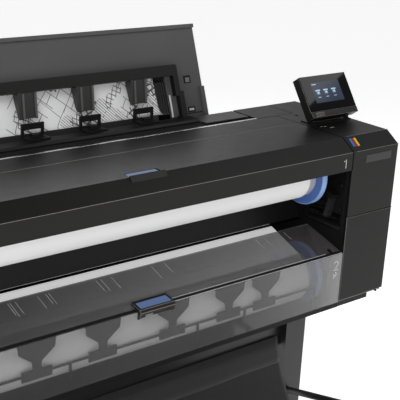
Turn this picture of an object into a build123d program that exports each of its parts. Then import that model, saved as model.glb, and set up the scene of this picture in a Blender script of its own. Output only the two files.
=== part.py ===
from build123d import *
import math
import os

# Large format plotter: a two-roll inkjet plotter on a caster stand, with a top output stacker.
# Frame: +X to the operator's right, +Y to the back, +Z up, millimetres, origin on the floor at the
# middle of the overall box.  Depths (d) are measured back from the plane of the front covers.

os.makedirs("parts", exist_ok=True)

# ---- driving dimensions -------------------------------------------------------------------
HALF_W = 699.5          # half of the overall width
LID_HALF = 545.0        # half width of the roll cover between the end covers
END_IN = 546.5          # inner edge of an end cover
FRONT_Y = -110.0        # where the front cover plane stands in this frame
REAR_D = 520.0          # rear end of the feet
BIN_D = -300.0          # front of the print bin
TOP_Z = 980.6           # flat top of the machine
EDGE_Z = 955.0          # top of the vertical front faces
SLANT_D = 37.5          # depth of the slanted front band
LID_Z = 913.0           # lower edge of the roll cover
SPLIT_Z = 799.0         # seam between an end cover and its ink door
BODY_Z = 590.0          # lower edge of the ink doors
BACK_D = 350.0          # rear face of the printer body
HINGE_D = 178.0         # roll cover hinge line
HINGE_Z = 977.6
SKIN = 3.0              # moulded cover wall
FRAME_T = 4.0           # side frame sheet

ROLL1 = (93.0, 891.0)   # (d, z) of the upper roll's axis
ROLL2 = (79.0, 652.0)   # (d, z) of the lower roll's axis
PAPER_HALF = 457.0      # 914 mm roll
PAPER1_R = 53.0
PAPER2_R = 62.0
CORE_R = 28.0
FLANGE_R = 72.0
FLANGE_X = 478.0
FLANGE_T = 15.0
SPINDLE_R = 9.0
FIT = 0.05              # radial running fit

DRAWER_HALF = 544.0
RAIL2 = (12.0, 640.0)   # (d, z) of the guides' rail in the drawer
WINDOW_Z = 712.5
WINDOW_REAR = (120.0, 747.0)
HANDLE_X = 5.0          # middle of the roll cover's grip
POCKET = 1.6            # depth of the grip's label pocket
DRAWER_GRIP_X = 8.0     # middle of the drawer's handle

STACK_X = 10.0          # middle of the output stacker
LEAN = 20.0             # stacker lean from the vertical, degrees
GATE_FOOT = (355.0, 985.0)
PANEL_FOOT = (395.0, 985.0)
FIN_PITCH = 143.3
GUIDE_Z = 1015.0        # top of the paper guides on the cross rail
SHEET_X = 284.0         # right edge of the finished sheet in the stacker
SHEET_W = 559.0         # its width, a 22 x 34 inch print

SCREEN_TILT = 34.7
SCREEN_FOOT = (143.5, 1015.0)
SCREEN_X = (547.0, 698.5)
SCREEN_H = 87.4

LEG_X = (482.0, 545.0)
LEG_D = (100.0, 170.0)
FOOT_Z = (76.0, 116.0)
PAN_Z = 560.0
FLOOR_Z = 572.0         # underside of the end covers
SILL_Z = 556.0          # lower edge of the front sill under the ink doors
PAD_Z = 72.0            # flat face of the jacking pads under the feet
DOOR_PIN = (692.0, 7.0) # (x, d) of an ink door's hinge pins
WHEEL_R = 30.0
TRAIL = 16.0

SIN = math.sin(math.radians(LEAN))
COS = math.cos(math.radians(LEAN))


# ---- helpers ------------------------------------------------------------------------------
def save(shape, name):
    """Write one node."""
    export_step(shape, f"parts/{name}.step")


def block(x0, x1, d0, d1, z0, z1):
    """Box between two corners given as x, depth and height."""
    size = (x1 - x0, d1 - d0, z1 - z0)
    mid = ((x0 + x1) / 2, FRONT_Y + (d0 + d1) / 2, (z0 + z1) / 2)
    return Pos(*mid) * Box(*size)


def prism(outline, x0, x1):
    """Extrude a (depth, height) outline along X."""
    points = [(FRONT_Y + d, z) for d, z in outline]
    face = make_face(Polyline(*points, close=True))
    return Pos(x0, 0, 0) * extrude(Plane.YZ * face, x1 - x0)


def wall(path, thick, x0, x1):
    """Plate that follows a (depth, height) path, its left side on the path."""
    offset = []
    count = len(path)
    for i, (d, z) in enumerate(path):
        before = path[max(i - 1, 0)]
        after = path[min(i + 1, count - 1)]
        ways = []
        for a, b in ((before, (d, z)), ((d, z), after)):
            run = math.hypot(b[0] - a[0], b[1] - a[1])
            if run > 1e-9:
                ways.append(((b[0] - a[0]) / run, (b[1] - a[1]) / run))
        t = (sum(w[0] for w in ways), sum(w[1] for w in ways))
        length = math.hypot(*t)
        n = (-t[1] / length, t[0] / length)
        cosine = n[0] * -ways[0][1] + n[1] * ways[0][0]
        offset.append((d + n[0] * thick / cosine, z + n[1] * thick / cosine))
    return prism(list(path) + offset[::-1], x0, x1)


def rod(x0, x1, d, z, r):
    """Round bar along X."""
    turn = Rotation(0, 90, 0) * Cylinder(r, x1 - x0)
    return Pos((x0 + x1) / 2, FRONT_Y + d, z) * turn


def post(x, d, z0, z1, r):
    """Round bar along Z."""
    return Pos(x, FRONT_Y + d, (z0 + z1) / 2) * Cylinder(r, z1 - z0)


def peg(x, d0, d1, z, r):
    """Round bar along Y."""
    return Pos(x, FRONT_Y + (d0 + d1) / 2, z) * (Rotation(90, 0, 0) * Cylinder(r, d1 - d0))


def ring(x0, x1, d, z, r_out, r_in):
    """Tube along X."""
    return rod(x0, x1, d, z, r_out) - rod(x0 - 1, x1 + 1, d, z, r_in)


def both(shape):
    """The shape and its mirror image across the middle of the machine."""
    return Compound([shape, mirror(shape, Plane.YZ)])


def flip(shape):
    return mirror(shape, Plane.YZ)


def lean_point(foot, s, n):
    """(depth, height) of a point s up the leaning plane from the foot and n behind it."""
    return (foot[0] + s * SIN + n * COS, foot[1] + s * COS - n * SIN)


def lean_block(foot, x0, x1, s0, s1, n0, n1):
    """Box on the leaning plane: s runs up the slope from the foot, n out of its back."""
    corners = [lean_point(foot, s0, n0), lean_point(foot, s1, n0),
               lean_point(foot, s1, n1), lean_point(foot, s0, n1)]
    return prism(corners, x0, x1)


# ---- chassis ------------------------------------------------------------------------------
def base_pan():
    """Sheet floor of the machine on its frame of rails and ribs."""
    low = PAN_Z
    high = PAN_Z + 9
    solids = [block(-545, 545, 30, 340, high, PAN_Z + 12)]
    for d in (30, 325):
        solids.append(block(-545, 545, d, d + 15, low, high))
    for x in (-537.5, -350, 0, 350, 537.5):
        solids.append(block(x - 7.5, x + 7.5, 45, 325, low, high))
    return Compound(solids)


def side_frame():
    """Right frame plate: the wall of the roll bays, with bearing holes and a spindle cradle."""
    plate = block(545.5, 545.5 + FRAME_T, 6, 345, PAN_Z + 12, 972)
    plate -= block(540, 555, 0, 34, 940, 980)
    plate -= block(540, 555, 20, 125, 760, 800)
    plate -= rod(540, 555, 192, 886, 8 + FIT)
    plate -= rod(540, 555, 192, 904.4, 3 + FIT)
    plate += block(541.5, 545.5, 128, 134, PAN_Z + 12, 940)
    plate += block(541.5, 545.5, 8, 14, 760, 910)
    return plate + cradle(ROLL1, 512, 546.5, 850)


def end_profile(inset):
    """Outline of the end cover from the side, set in by the wall."""
    slope = math.atan2(TOP_Z - EDGE_Z, SLANT_D)
    shift = inset * math.tan(slope / 2)
    low = inset * math.tan((math.pi / 2 - slope) / 2)
    return [
        (inset, SPLIT_Z - 5 if inset else SPLIT_Z),
        (inset, EDGE_Z - low),
        (SLANT_D + shift, TOP_Z - inset),
        (BACK_D - inset, TOP_Z - inset),
        (BACK_D - inset, SPLIT_Z - 5 if inset else SPLIT_Z),
    ]


def end_cover():
    """Right end cover: upper housing, lower side wall, back and floor, with hinge pins."""
    upper = prism(end_profile(0), END_IN, HALF_W)
    edges = upper.edges().filter_by(Plane.YZ).group_by(Axis.X)[-1]
    upper = fillet(edges.filter_by(lambda e: e.center().Z > SPLIT_Z + 1), 5)
    upper -= prism(end_profile(SKIN), 550, HALF_W - SKIN)
    upper -= prism(end_profile(SKIN), END_IN - 1, 551)
    side = block(HALF_W - SKIN, HALF_W, 17, BACK_D, FLOOR_Z, SPLIT_Z + 1)
    back = block(END_IN, HALF_W, BACK_D - SKIN, BACK_D, FLOOR_Z, SPLIT_Z + 1)
    floor = block(551, HALF_W, 24, BACK_D, FLOOR_Z, FLOOR_Z + 4)
    strip = prism([(3, BODY_Z - 1), (24, FLOOR_Z), (30, FLOOR_Z), (30, FLOOR_Z + 4),
                   (7, BODY_Z - 1)], 550, HALF_W)
    sill = block(550, HALF_W - 20, 30, 34, SILL_Z, FLOOR_Z + 2)
    shell = upper + side + back + floor + strip + sill
    shell -= block(END_IN - 1, 601.5, 257.5, BACK_D + 1, TOP_Z - 24, TOP_Z + 1)
    shell += block(601.5, 604.5, 254.5, BACK_D - SKIN + 1, TOP_Z - 24, TOP_Z - 2)
    shell += block(550, 603, 254.5, 257.5, TOP_Z - 24, TOP_Z - 2)
    shell += rod(541.2, END_IN + 2, HINGE_D, HINGE_Z, 1.5)
    shell += block(685, HALF_W - 2, 2, 19, SPLIT_Z + 0.3, SPLIT_Z + 5)
    shell += post(DOOR_PIN[0], DOOR_PIN[1], SPLIT_Z - 13, SPLIT_Z + 2, 2.5)
    shell += post(DOOR_PIN[0], DOOR_PIN[1], BODY_Z - 6, BODY_Z + 8, 2.5)
    return shell


def ink_door():
    """Right ink door: front panel with a rim, hinged on its outer edge."""
    x, d = DOOR_PIN
    panel = block(END_IN, HALF_W, 0, SKIN, BODY_Z, SPLIT_Z - 1)
    panel += block(HALF_W - SKIN, HALF_W, SKIN - 1, 13, BODY_Z, SPLIT_Z - 1)
    panel += block(550.5, 553, SKIN - 1, 12, BODY_Z + 2, SPLIT_Z - 3)
    outer_edge = panel.edges().filter_by(Axis.Z).sort_by_distance((HALF_W, FRONT_Y, 700))[0]
    panel = fillet(outer_edge, 4)
    for z0, z1 in ((BODY_Z + 1, BODY_Z + 16), (SPLIT_Z - 20, SPLIT_Z - 6.5)):
        panel += block(x - 5, HALF_W - 2, 2, 12, z0, z1)
    panel -= post(x, d, BODY_Z - 5, BODY_Z + 17, 2.5 + FIT)
    panel -= post(x, d, SPLIT_Z - 22, SPLIT_Z, 2.5 + FIT)
    panel += block(560, 600, SKIN - 1, 5, SPLIT_Z - 12, SPLIT_Z - 3)
    return panel


def ink_cartridges():
    """Three cartridges a side, in their bay behind the ink doors."""
    group = []
    for side in (-1, 1):
        for k in range(3):
            x = side * (576 + 41 * k)
            body = block(x - 15, x + 15, 40, 230, 620, 740)
            body = fillet(body.edges().filter_by(Axis.Y), 3)
            body += block(x - 9, x + 9, 30, 40, 700, 732)
            group.append(body)
    return Compound(group)


def cartridge_bays():
    """Bay trays that hold the cartridges, fixed to the side frames."""
    tray = block(551, 686, 40, 300, 604, 619.6)
    tray += block(551, 686, 232, 300, 619.6, 760)
    for x in (555.5, 596.5, 637.5, 678.5):
        tray += block(x - 3, x + 3, 60, 232, 619.6, 660)
    return both(tray)


def rear_cover():
    cover = block(-546, 546, BACK_D - 4, BACK_D, 576, 953)
    cover -= block(-420, -90, BACK_D - 5, BACK_D + 1, 606, 754)
    for k in range(14):
        z = 800 + 9 * k
        cover -= block(180, 420, BACK_D - 5, BACK_D + 1, z, z + 4)
    return cover


def electronics_box():
    """Steel box on the rear with the mains, network and expansion sockets."""
    box = block(-419, -91, 292, BACK_D + 2, 607, 753)
    box -= block(-416, -94, 295, BACK_D - 1, 610, 750)
    box -= block(-392, -348, BACK_D - 3, BACK_D + 3, 622, 654)
    box -= block(-250, -232, BACK_D - 3, BACK_D + 3, 640, 656)
    box -= block(-210, -160, BACK_D - 3, BACK_D + 3, 620, 720)
    for k in range(7):
        box -= block(-320, -270, BACK_D - 3, BACK_D + 3, 690 + 7 * k, 693.5 + 7 * k)
    return box


def power_inlet():
    """Mains inlet: a shrouded socket with three blades and its rocker switch."""
    inlet = block(-391.5, -348.5, 325, BACK_D + 3, 622.5, 653.5)
    inlet += block(-396, -344, BACK_D + 2, BACK_D + 4, 618, 658)
    inlet -= block(-386, -362, 331, BACK_D + 5, 628, 648)
    for dx, dz in ((-6, -3), (6, -3), (0, 4)):
        inlet += block(-374 + dx - 1, -374 + dx + 1, 330, 348, 638 + dz - 2, 638 + dz + 2)
    inlet += block(-359, -351, BACK_D + 3.5, BACK_D + 6, 630, 646)
    return inlet


def bay_panel():
    """Dark guide wall behind the upper roll, folded in above the lower roll's paper."""
    return wall([(158, 752), (172, 800), (172, 958), (176, 962)], 2.5, -545, 545)


def rear_top_cover():
    plate = block(-544.5, 544.5, 183, 257.5, TOP_Z - SKIN, TOP_Z)
    plate += block(-544.5, 544.5, 254, 257.5, TOP_Z - 16, TOP_Z - SKIN)
    for x in (-500, -250, 0, 250, 500):
        plate += block(x - 1.5, x + 1.5, 190, 254, TOP_Z - 10, TOP_Z - SKIN)
    return plate


def rear_deck():
    """Deck behind the slot: slot walls, stepped guide strip and the fixed rear shelf."""
    deck = block(-600, 600, 259, BACK_D, TOP_Z - SKIN, TOP_Z)
    deck -= block(-486, 486, 258, BACK_D + 1, TOP_Z - 6, TOP_Z + 1)
    deck += block(-490, 490, 282, 306, 972, 976)
    deck += block(-490, 490, 282, 285, 950, 976)
    for d in (289, 295, 301):
        deck += block(-480, 480, d, d + 2.5, 976, 978)
    for side in (-1, 1):
        x = side * 488
        deck += block(min(x, x + side * 4), max(x, x + side * 4), 261, 345, 960, TOP_Z - 1)
    deck += block(-490, 490, 303, 343.5, 954, 958)
    deck += block(-490, 490, 303, 306, 956, 974)
    return deck


def slot_edge_strip():
    """Bright metal strip along the front edge of the output slot."""
    strip = block(-485.5, 485.5, 260, 262.5, 955, TOP_Z - 1)
    return strip + block(-485.5, 485.5, 259, 265.5, TOP_Z - 1.6, TOP_Z + 0.2)


def stacker_rail():
    """Black cross rail at the front of the stacker, with its floor and the gate's hinge ears."""
    x0 = STACK_X - 338
    x1 = STACK_X + 338
    rail = prism([(308, 962), (308, 980), (312, 985), (344, 985), (344, 962)], x0, x1)
    rail += block(x0, x1, 330, 384, 958.5, 964.5)
    for side in (-1, 1):
        a = STACK_X + side * 318
        rail += block(a - 3, a + 3, 344, 364, 962, 982)
        rail += rod(min(a, a + side * 18), max(a, a + side * 18), 354, 974, 3)
    return rail


def stacker_ramps():
    """Grey end ramps beside the cross rail."""
    right = block(349.5, 478, 308, 345, 961, 981)
    right += block(349.5, 478, 284, 308, 979.5, 981.5)
    right = fillet(right.edges().filter_by(Axis.Z).sort_by(Axis.X)[:1], 1)
    left = block(-478, -329.5, 308, 345, 961, 981) + block(-478, -329.5, 284, 308, 979.5, 981.5)
    return Compound([right, left])


def fin_centres():
    return [STACK_X + FIN_PITCH * (k - 1.5) + 1.5 for k in range(4)]


def paper_guides():
    """Black inverted-U guides that stand on the cross rail below each fin."""
    group = []
    for x in fin_centres():
        x0 = x - 30
        x1 = x + 24
        part = block(x0, x1, 358, 363, 1002, GUIDE_Z)
        part += block(x0, x0 + 6, 358, 363, 985, 1003)
        part += block(x1 - 6, x1, 358, 363, 985, 1003)
        part += block(x0, x1, 330, 363, 985, 988)
        part += block(x - 12, x + 8, 344, 357, 987, 994)
        group.append(part)
    return Compound(group)


def stacker_panel():
    """Tall leaning back panel with its side channels, latch pockets and brackets."""
    x0 = STACK_X - 425
    x1 = STACK_X + 425
    panel = lean_block(PANEL_FOOT, x0, x1, -26, 205, 0, 3)
    panel += lean_block(PANEL_FOOT, x0, x1, 196, 205, -6, 3)
    for side in (-1, 1):
        x = STACK_X + side * 425
        inner = x - side * 12
        panel += lean_block(PANEL_FOOT, min(x, inner), max(x, inner), -26, 52, -8, 3)
        a = STACK_X + side * 383
        panel -= lean_block(PANEL_FOOT, a - 11, a + 11, 63, 82, -9, 1.8)
    for x in (STACK_X - 300, STACK_X, STACK_X + 300):
        panel += prism([(BACK_D, 900), (BACK_D, 950), (386, 957), (389.8, 961.4), (401.4, 993.4),
                        (404, 985), (398, 955)], x - 4, x + 4)
    return panel


def printed_sheet():
    """A finished sheet standing in the stacker."""
    path = [(366, 991), (376, 992.5), (389, 1008), (402, 1036), (417, 1070), (422.5, 1084)]
    return wall(path, 1.2, SHEET_X - SHEET_W, SHEET_X)


def gate_frame():
    """Leaning front frame of the stacker: top bar and two cranked arms."""
    bar = lean_block(GATE_FOOT, STACK_X - 330, STACK_X + 330, 96, 122, 0, 15)
    bar = fillet(bar.edges().filter_by(lambda e: abs(e.center().X - STACK_X) > 329
                                       and e.center().Z > 1092 and abs(e.tangent_at(0.5).X) < 0.1
                                       and abs(e.tangent_at(0.5).Y) > 0.5), 6)
    for side in (-1, 1):
        a = STACK_X + side * 323
        b = STACK_X + side * 332
        bar += lean_block(GATE_FOOT, a - 7, a + 7, 52, 97, 0, 15)
        bar += lean_block(GATE_FOOT, min(a, b) - 7, max(a, b) + 7, 48, 58, 0, 15)
        bar += lean_block(GATE_FOOT, b - 7, b + 7, -2, 50, 0, 15)
        bar += rod(b - 7, b + 7, 354, 974, 8)
        bar += lean_block(GATE_FOOT, b - 7, b + 7, -14, 0, 0, 10)
        bar -= rod(b - 12, b + 12, 354, 974, 3 + FIT)
    return bar


def gate_fins():
    """Bevelled fins that hang from the gate's top bar and hold the prints down."""
    side = [lean_point(GATE_FOOT, *p) for p in ((40, 12), (96, -1), (96, 25), (52, 21), (43, 17))]
    recess = [lean_point(GATE_FOOT, *p) for p in ((36, 9.2), (99, -5.2), (99, 0.9), (36, 15.3))]
    group = []
    for x in fin_centres():
        fin = prism(side, x - 22, x + 22)
        fin -= prism(recess, x - 15, x + 15)
        group.append(fin)
    return Compound(group)


# ---- roll cover ---------------------------------------------------------------------------
def lid():
    """Roll cover: folded skin with end plates, stiffening ribs and a grip lip."""
    outer = [(0, LID_Z), (0, EDGE_Z), (SLANT_D, TOP_Z), (HINGE_D + 3, TOP_Z)]
    skin = wall(outer[::-1], SKIN, -LID_HALF, LID_HALF)
    ends = [(0.5, LID_Z), (0.5, EDGE_Z - 1), (SLANT_D, TOP_Z - 1), (HINGE_D + 2, TOP_Z - 1),
            (HINGE_D + 1, HINGE_Z - 4), (150, 960), (60, 950), (22, LID_Z)]
    for side in (-1, 1):
        x = side * (LID_HALF - 3.3)
        plate = prism(ends, min(x, side * LID_HALF), max(x, side * LID_HALF))
        skin += plate
    skin -= rod(LID_HALF - 8, LID_HALF + 5, HINGE_D, HINGE_Z, 1.5 + FIT)
    skin -= rod(-LID_HALF - 5, -LID_HALF + 8, HINGE_D, HINGE_Z, 1.5 + FIT)
    for x in (-360, -180, 0, 180, 360):
        rib = prism([(1, LID_Z + 4), (1, EDGE_Z - 1), (SLANT_D, TOP_Z - 1), (HINGE_D - 4, TOP_Z - 1),
                     (HINGE_D - 4, TOP_Z - 5), (SLANT_D + 4, TOP_Z - 5), (5, LID_Z + 4)],
                    x - 1.2, x + 1.2)
        skin += rib
    skin -= block(HANDLE_X - 39, HANDLE_X + 39, 38, 60, TOP_Z - POCKET, TOP_Z + 1)
    lip = prism([(26, 973.2), (33, 983.5), (36, 984.4), (39, TOP_Z - 2), (SLANT_D, TOP_Z - 2)],
                HANDLE_X - 42, HANDLE_X + 42)
    return skin + lip


# ---- upper roll ---------------------------------------------------------------------------
def spindle(axis):
    """Spindle with its drive gear and end bearings' seats."""
    d, z = axis
    bar = rod(-530, 530, d, z, SPINDLE_R)
    gear = rod(500, 508, d, z, 20)
    teeth = 20
    for k in range(teeth):
        turn = 360 / teeth * k
        tooth = Pos(504, 0, 20) * Box(8, 3, 4)
        gear += Pos(0, FRONT_Y + d, z) * (Rotation(turn, 0, 0) * tooth)
    return bar + gear


def flanges(axis):
    """Pair of end flanges, each with its grey collar and the hub that grips the core."""
    d, z = axis
    disc = rod(FLANGE_X, FLANGE_X + FLANGE_T, d, z, FLANGE_R)
    disc = chamfer(disc.edges().filter_by(GeomType.CIRCLE), 1.5)
    disc -= ring(FLANGE_X + 5, FLANGE_X + FLANGE_T + 1, d, z, FLANGE_R - 8, 34)
    disc += rod(PAPER_HALF + 0.8, FLANGE_X, d, z, 50)
    disc += rod(PAPER_HALF - 40, PAPER_HALF + 1, d, z, CORE_R - 4)
    disc -= rod(PAPER_HALF - 50, FLANGE_X + 30, d, z, SPINDLE_R)
    return both(disc)


def paper(axis, r):
    d, z = axis
    return ring(-PAPER_HALF, PAPER_HALF, d, z, r, CORE_R - 4)


def cradle(axis, x0, x1, foot):
    """Open-top block that carries one spindle end."""
    d, z = axis
    part = block(x0, x1, d - 22, d + 22, foot, z + 6)
    part -= rod(x0 - 1, x1 + 1, d, z, SPINDLE_R + FIT)
    part -= block(x0 - 1, x1 + 1, d - SPINDLE_R - FIT, d + SPINDLE_R + FIT, z, z + 20)
    return part


def paper_lead():
    """Paper from the lower roll, on its way up behind the guide wall."""
    rise = math.radians(20)
    r = PAPER2_R + 0.5
    start = (ROLL2[0] - r * math.sin(rise), ROLL2[1] + r * math.cos(rise))
    run = 112
    end = (start[0] + run * math.cos(rise), start[1] + run * math.sin(rise))
    return wall([start, end, (176, 780), (182, 860)], 0.8, -PAPER_HALF, PAPER_HALF)


# ---- roll 2 drawer ------------------------------------------------------------------------
def drawer_tray():
    """Sliding tray of the lower roll: floor, sides, rear wall, spindle cradles, guide rail."""
    tray = block(-540, 540, 6, 210, 573, 576)
    tray += prism([(3, 574), (3, 587), (6, 587), (9, 582), (9, 574)], -543, 543)
    tray += block(-540, 540, 207, 210, 575, 632)
    for side in (-1, 1):
        x = side * 540
        tray += block(min(x, x - side * 3), max(x, x - side * 3), 6, 210, 575, 640)
        part = cradle(ROLL2, 511, 538, 575)
        tray += part if side > 0 else flip(part)
    tray += rod(-474, 474, *RAIL2, 2.5)
    for x in (-472, -180, 130, 260, 472):
        tray += block(x - 2, x + 2, 10, 14, 575, RAIL2[1])
    return tray


def drawer_window():
    """Clear cover of the drawer: front, sloping top and two ends."""
    d1, z1 = WINDOW_REAR
    path = [(d1, z1), (0, WINDOW_Z), (0, 587.5)]
    shell = wall(path, SKIN, -DRAWER_HALF, DRAWER_HALF)
    ends = [(1, 588), (1, WINDOW_Z - 1), (d1, z1 - 1), (d1, z1 - 8), (40, 642), (20, 588)]
    for side in (-1, 1):
        x = side * (DRAWER_HALF - 2.5)
        shell += prism(ends, min(x, side * DRAWER_HALF), max(x, side * DRAWER_HALF))
    return shell


def drawer_handle():
    """Grip frame on the front edge of the drawer, with a finger hook below it."""
    x0 = DRAWER_GRIP_X - 43
    x1 = DRAWER_GRIP_X + 43
    slope = (WINDOW_REAR[1] - WINDOW_Z) / WINDOW_REAR[0]
    seat = WINDOW_Z + slope * 24
    outline = [(-12, 709.5), (-12, 714), (-8, 720), (24, seat + 5), (26, seat + 1),
               (-0.3, WINDOW_Z + 0.3), (-0.3, 709.5), (-6.5, 709.5), (-6.5, 702.5), (-9, 702.5), (-9, 709.5)]
    frame = prism(outline, x0, x1)
    lug = prism([(-9, 701), (-9, 712), (-0.3, 712), (-0.3, 696)], x0, x0 + 3)
    return frame + lug + Pos(x1 - x0 - 3, 0, 0) * lug


def guide_arms():
    """Funnel-shaped paper guides on the drawer's front rail."""
    group = []
    for x in (-400, -255, -110, 59, 209, 312):
        shape = Polyline((x - 40, 708), (x + 40, 708), (x + 38, 690), (x + 10, 668), (x + 8, 650),
                         (x - 8, 650), (x - 10, 668), (x - 38, 690), close=True)
        arm = Pos(0, FRONT_Y + 7.5, 0) * extrude(Plane.XZ * make_face(shape), 2.5)
        arm += block(x - 32, x + 32, 5, 8, 632, 652)
        arm += block(x - 40, x + 40, 5, 14, 706, 708.5)
        for dx in (-22, 22):
            arm += peg(x + dx, 4, 8, 640, 6)
        arm += block(x - 6, x + 6, 7, 9.4, 634, 646)
        group.append(arm)
    return Compound(group)


# ---- print engine -------------------------------------------------------------------------
def carriage_rails():
    group = [rod(-545.5, 545.5, 240, 946, 7), rod(-545.5, 545.5, 240, 916, 4)]
    return Compound(group)


def carriage():
    """Printhead carriage with two slide bores and six head nozzles' block."""
    body = block(-55, 55, 224, 256, 904, 962)
    body = chamfer(body.edges().filter_by(Axis.Z), 3)
    body -= rod(-60, 60, 240, 946, 7 + FIT)
    body -= rod(-60, 60, 240, 916, 4 + FIT)
    for x in (-36, 0, 36):
        body += block(x - 14, x + 14, 228, 252, 900, 904)
    body += block(-12, 12, 219, 225, 951, 958)
    return body


def platen():
    bed = block(-520, 520, 208, 260, 884, 897)
    for k in range(24):
        x = -483 + 42 * k
        bed -= block(x - 14, x + 14, 222, 250, 893, 898)
    bed += block(-545.5, -520, 215, 250, 884, 892)
    bed += block(520, 545.5, 215, 250, 884, 892)
    return bed


def feed_roller():
    roller = rod(-549, 549, 192, 886, 8)
    return roller + rod(-500, 500, 192, 886, 12)


def pinch_rollers():
    shaft = rod(-549, 549, 192, 904.4, 3)
    for k in range(12):
        x = -462 + 84 * k
        shaft += rod(x - 22, x + 22, 192, 904.4, 6)
    return shaft


def carriage_belt():
    """Toothed belt loop round the two pulleys."""
    outer = block(-500, 500, 211, 217, 933.8, 956.2)
    outer += peg(-500, 211, 217, 945, 11.2) + peg(500, 211, 217, 945, 11.2)
    inner = block(-500, 500, 210, 218, 935.2, 954.8)
    inner += peg(-500, 210, 218, 945, 9.8) + peg(500, 210, 218, 945, 9.8)
    return outer - inner


def carriage_motor():
    """Carriage motor on the left, and the belt's idler block on the right."""
    motor = peg(-500, 178.5, 207, 945, 15)
    motor += block(-520, -480, 207, 210, 926, 964)
    motor += block(-545.5, -515, 207, 210, 930, 960)
    motor -= peg(-500, 199, 215, 945, 3 + FIT)
    idler = block(484, 545.5, 207, 210, 935, 955) + peg(500, 209, 217, 945, 9.2)
    return Compound([motor, idler])


def drive_pulley():
    return peg(-500, 211, 217, 945, 9.2) + peg(-500, 200, 212, 945, 3)


def service_station():
    """Printhead capping and wiping unit in the right end."""
    box = block(556, 672, 190, 250, 850, 905)
    for x in (580, 614, 648):
        box += block(x - 11, x + 11, 205, 235, 905, 910)
    box += block(551, 556, 200, 240, 860, 890)
    return box


# ---- control panel ------------------------------------------------------------------------
def screen_block(u0, u1, v0, v1, n0, n1):
    """Box in the control panel's own tilted axes: across, up the glass, out of the glass."""
    s = math.sin(math.radians(SCREEN_TILT))
    c = math.cos(math.radians(SCREEN_TILT))
    outline = []
    for v, n in ((v0, n0), (v1, n0), (v1, n1), (v0, n1)):
        outline.append((SCREEN_FOOT[0] + v * s - n * c, SCREEN_FOOT[1] + v * c + n * s))
    return prism(outline, SCREEN_X[0] + u0, SCREEN_X[0] + u1)


PIVOT = (163.0, 988.5)


def panel_base():
    """Foot of the control panel: plate, two lugs and the pivot pin."""
    base = block(562, 690, 150, 190, TOP_Z, TOP_Z + 2.4)
    for x in (562, 682):
        base += block(x, x + 8, 157, 169, TOP_Z + 2, 988.5)
        base += rod(x, x + 8, *PIVOT, 6)
    base += rod(562, 690, *PIVOT, 2.5)
    return base


def panel_housing():
    """Tilting housing with the pivot barrel, speaker grille and rear ribs."""
    width = SCREEN_X[1] - SCREEN_X[0]
    shell = screen_block(0, width, -15.5, SCREEN_H, -24, -2)
    shell += screen_block(0, width, -15.5, -0.6, -3, 0)
    shell += rod(575, 670, *PIVOT, 5)
    shell += screen_block(28, 123, -15.5, -6, -32, -23)
    shell -= rod(560, 685, *PIVOT, 2.5 + FIT)
    for k in range(6):
        u = 14 + 4.6 * k
        shell -= screen_block(u, u + 2.4, -12, -4, -1, 1)
    shell -= screen_block(118, 131, SCREEN_H - 4, SCREEN_H + 1, -17, -9)
    return shell


def panel_glass():
    width = SCREEN_X[1] - SCREEN_X[0]
    return screen_block(0.4, width - 0.4, 0, SCREEN_H, -2, 0)


def power_button():
    return screen_block(118.5, 130.5, SCREEN_H - 2.2, SCREEN_H + 1.2, -16.5, -9.5)


# ---- stand --------------------------------------------------------------------------------
def right_leg():
    """One stand leg: square tube column between a top plate and a foot beam with its jacking pad."""
    x0, x1 = LEG_X
    d0, d1 = LEG_D
    column = block(x0, x1, d0, d1, FOOT_Z[1], PAN_Z - 6)
    column -= block(x0 + 6, x1 - 6, d0 + 6, d1 - 6, FOOT_Z[1] - 1, PAN_Z - 5)
    plate = block(x0 - 6, x1, 70, 330, PAN_Z - 6, PAN_Z)
    foot = prism([(-232, FOOT_Z[0]), (-236, 92), (-200, 104), (60, FOOT_Z[1]), (210, FOOT_Z[1]),
                  (484, 104), (REAR_D, 92), (REAR_D, FOOT_Z[0])], x0 + 4, x1 - 4)
    foot += block(x0 + 15, x1 - 15, 90, 150, PAD_Z, FOOT_Z[0] + 1)
    mid = (x0 + x1) / 2
    for d in CASTER_D:
        foot -= post(mid, d, FOOT_Z[0] - 1, FOOT_Z[0] + 14, 5 + FIT)
    return Compound([column, plate, foot])


CASTER_D = (-205.0, 470.0)


def caster_fork(x, d):
    """Swivel fork with its stem; the wheel trails behind the stem."""
    top = 75.4
    fork = block(x - 17, x + 17, d - 14, d + 26, 66, top)
    fork = fillet(fork.edges().filter_by(Axis.Z), 8)
    for side in (-1, 1):
        a = x + side * 15.5
        cheek = prism([(d + TRAIL - 12, 66.5), (d + TRAIL - 9, 22), (d + TRAIL + 9, 22),
                       (d + 24, 66.5)], a - 1.5, a + 1.5)
        fork += cheek
    fork += post(x, d, top - 1, FOOT_Z[0] + 12, 5)
    return fork + rod(x - 15.5, x + 15.5, d + TRAIL, WHEEL_R, 4)


def caster_wheel(x, d):
    wheel = rod(x - 11.5, x + 11.5, d + TRAIL, WHEEL_R, WHEEL_R)
    wheel = fillet(wheel.edges().filter_by(GeomType.CIRCLE), 3)
    wheel -= ring(x - 12, x - 8, d + TRAIL, WHEEL_R, 20, 9)
    wheel -= ring(x + 8, x + 12, d + TRAIL, WHEEL_R, 20, 9)
    return wheel - rod(x - 13, x + 13, d + TRAIL, WHEEL_R, 4 + FIT)


def cross_beam():
    beam = block(-482, 482, 122, 150, 440, 554)
    return beam - block(-478, 478, 124.5, 151, 443, 551)


BIN_ROD = (BIN_D + 8, 430.0)


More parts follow.
